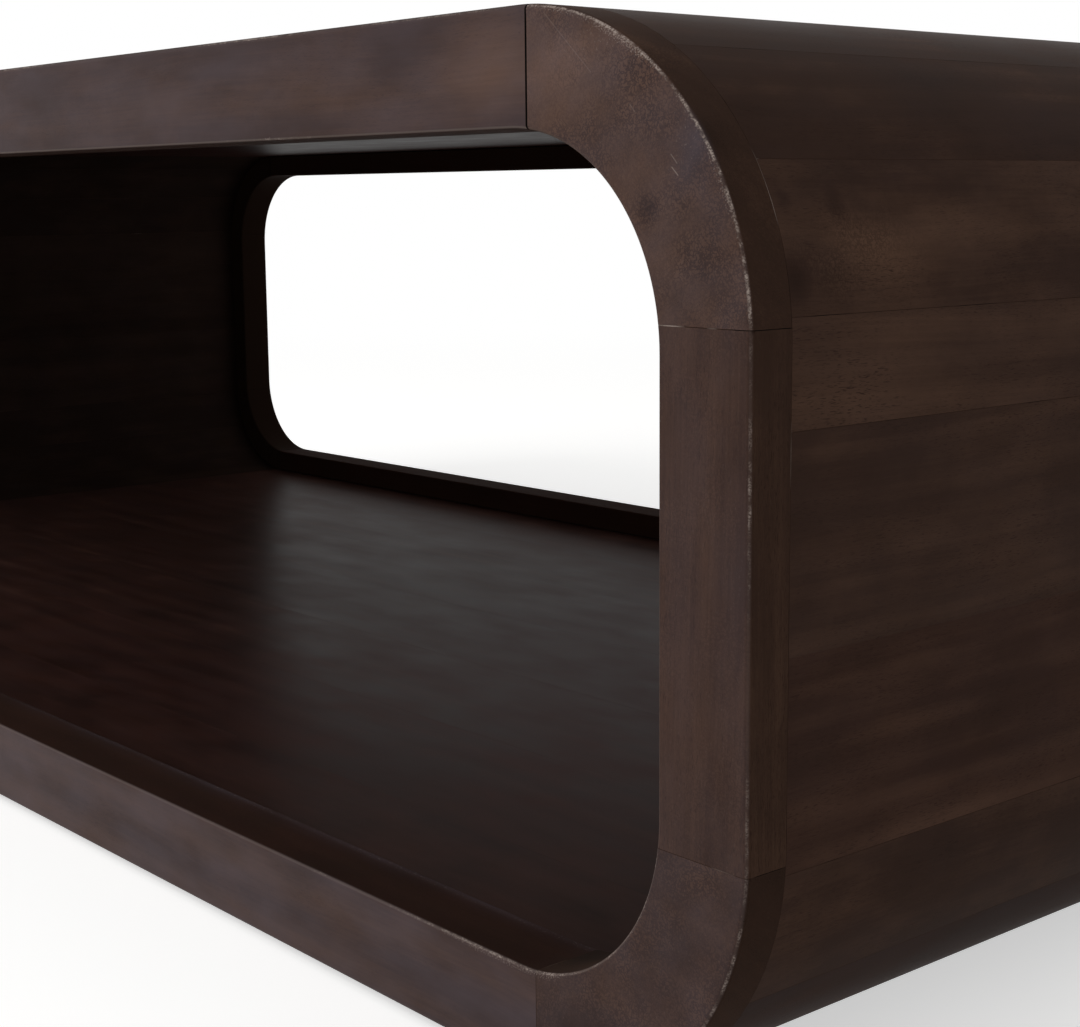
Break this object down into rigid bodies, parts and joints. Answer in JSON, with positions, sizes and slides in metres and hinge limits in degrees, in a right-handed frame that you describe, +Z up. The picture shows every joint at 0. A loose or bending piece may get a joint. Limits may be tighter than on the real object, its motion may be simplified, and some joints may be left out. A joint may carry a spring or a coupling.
{
  "type": "coffee table",
  "caption": "Low rectangular coffee table in dark stained hardwood, built as a closed loop with rounded corners, open at front and back, with storage space inside.",
  "frame": {"origin": "middle of the table's plan, in the plane of the glides' soles, where it stands on the floor", "axes": "+X along the table's length, to the right as seen from the front; -Y out of the front opening; +Z up"},
  "size_m": [1.4, 0.7, 0.359],
  "materials": {
    "frame_wood": "solid hardwood, espresso stain, satin lacquer worn pale along the arrises",
    "shell_wood": "solid hardwood boards and staves, espresso stain, satin lacquer",
    "dowel_wood": "bare beech, glued",
    "spline_wood": "bare birch plywood, glued",
    "glide_plastic": "brown nylon, matt",
    "nail_steel": "bright steel nail"
  },
  "bodies": {
    "root": {"back_bottom_left_corner_block": "frame_wood", "back_bottom_rail": "frame_wood", "back_bottom_right_corner_block": "frame_wood", "back_frame_dowels": "dowel_wood", "back_left_stile": "frame_wood", "back_right_stile": "frame_wood", "back_top_left_corner_block": "frame_wood", "back_top_rail": "frame_wood", "back_top_right_corner_block": "frame_wood", "bottom_board_1": "shell_wood", "bottom_board_2": "shell_wood", "bottom_board_3": "shell_wood", "bottom_board_4": "shell_wood", "bottom_board_5": "shell_wood", "bottom_board_6": "shell_wood", "bottom_board_7": "shell_wood", "bottom_left_bottom_stave": "shell_wood", "bottom_left_middle_stave": "shell_wood", "bottom_left_side_stave": "shell_wood", "bottom_left_spline": "spline_wood", "bottom_right_bottom_stave": "shell_wood", "bottom_right_middle_stave": "shell_wood", "bottom_right_side_stave": "shell_wood", "bottom_right_spline": "spline_wood", "front_bottom_left_corner_block": "frame_wood", "front_bottom_rail": "frame_wood", "front_bottom_right_corner_block": "frame_wood", "front_frame_dowels": "dowel_wood", "front_left_stile": "frame_wood", "front_right_stile": "frame_wood", "front_top_left_corner_block": "frame_wood", "front_top_rail": "frame_wood", "front_top_right_corner_block": "frame_wood", "glide_nails": "nail_steel", "glide_pads": "glide_plastic", "left_side_board_1": "shell_wood", "left_side_board_2": "shell_wood", "left_side_board_3": "shell_wood", "right_side_board_1": "shell_wood", "right_side_board_2": "shell_wood", "right_side_board_3": "shell_wood", "top_board_1": "shell_wood", "top_board_2": "shell_wood", "top_board_3": "shell_wood", "top_board_4": "shell_wood", "top_board_5": "shell_wood", "top_board_6": "shell_wood", "top_board_7": "shell_wood", "top_left_middle_stave": "shell_wood", "top_left_side_stave": "shell_wood", "top_left_spline": "spline_wood", "top_left_top_stave": "shell_wood", "top_right_middle_stave": "shell_wood", "top_right_side_stave": "shell_wood", "top_right_spline": "spline_wood", "top_right_top_stave": "shell_wood"}
  },
  "joints": []
}
